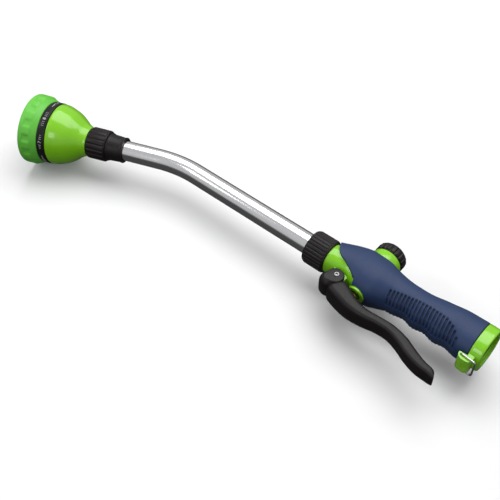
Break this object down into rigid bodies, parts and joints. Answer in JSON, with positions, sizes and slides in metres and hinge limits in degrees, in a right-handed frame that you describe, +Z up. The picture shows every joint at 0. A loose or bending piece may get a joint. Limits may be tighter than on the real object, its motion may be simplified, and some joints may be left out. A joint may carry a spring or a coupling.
{
  "type": "watering wand",
  "caption": "Garden watering wand with a turning pattern head, bent metal tube, squeeze trigger valve, flow knob and soft ribbed grip.",
  "frame": {"origin": "bottom centre of the whole wand as it lies on its side, on the surface it lies on", "axes": "+X along the handle toward the hose end, the longest extent; +Y toward the flow knob, so -Y is the trigger side; +Z up, the wand's own left side and its shortest extent"},
  "size_m": [0.48, 0.1249, 0.067],
  "materials": {
    "bezel_green": "moulded plastic, satin, light green",
    "face_grey": "moulded plastic, satin, dark grey",
    "black_plastic": "moulded plastic, satin black",
    "bright_green": "moulded plastic, glossy lime green",
    "tube_metal": "polished, clear-coated tube",
    "navy_grip": "soft overmoulded grip, matt navy blue",
    "steel": "stainless steel, bright",
    "brass": "turned brass",
    "rubber_black": "black seal rubber"
  },
  "bodies": {
    "handle": {"head_housing": "bright_green", "selector_plate": "black_plastic", "selector_seal": "rubber_black", "head_nut": "black_plastic", "tube_ferrule": "black_plastic", "ferrule_o_ring": "rubber_black", "wand_tube": "tube_metal", "tube_flange": "black_plastic", "collar_nut": "black_plastic", "collar_o_ring": "rubber_black", "valve_body": "bright_green", "grip_sleeve": "navy_grip", "stem_gland": "bright_green", "stem_o_ring": "rubber_black", "valve_spring": "steel", "valve_bonnet": "bright_green", "spindle_o_ring": "rubber_black", "pivot_pin": "steel", "end_cap": "bright_green", "inlet_insert": "bright_green", "inlet_washer": "rubber_black", "filter_screen": "steel"},
    "spray_head": {"face_bezel": "bezel_green", "spray_face": "face_grey", "dial_band": "black_plastic", "face_screw": "steel"},
    "trigger": {"trigger_lever": "black_plastic"},
    "stem": {"valve_stem": "brass", "valve_seal": "rubber_black"},
    "flow_control": {"flow_knob": "black_plastic", "flow_spindle": "brass", "knob_screw": "steel"},
    "bail": {"lock_bail": "steel"}
  },
  "joints": [
    {"name": "head_turn", "type": "hinge", "parent": "handle", "child": "spray_head", "pos_m": [-0.22813, -0.03116, 0.0335], "axis": [-0.9351, -0.3543, 0], "continuous": true},
    {"name": "trigger_squeeze", "type": "hinge", "parent": "handle", "child": "trigger", "pos_m": [0.10936, 0.00399, 0.0335], "axis": [0, 0, 1], "range_deg": [0, 11], "stiffness_Nm_per_rad": 1.2, "springref_deg": -6.88},
    {"name": "stem_slide", "type": "slide", "parent": "handle", "child": "stem", "axis": [0, 1, 0], "range_m": [0, 0.0038], "deforming": ["valve_spring"]},
    {"name": "knob_turn", "type": "hinge", "parent": "handle", "child": "flow_control", "pos_m": [0.12886, 0.05099, 0.0335], "axis": [0, 1, 0], "range_deg": [0, 90]},
    {"name": "bail_swing", "type": "hinge", "parent": "handle", "child": "bail", "pos_m": [0.22606, 0.00519, 0.0335], "axis": [0, 0, -1], "range_deg": [0, 109]}
  ],
  "couplings": [
    {"joint": "stem_slide", "follows": "trigger_squeeze", "m_per_rad": 0.0195}
  ]
}
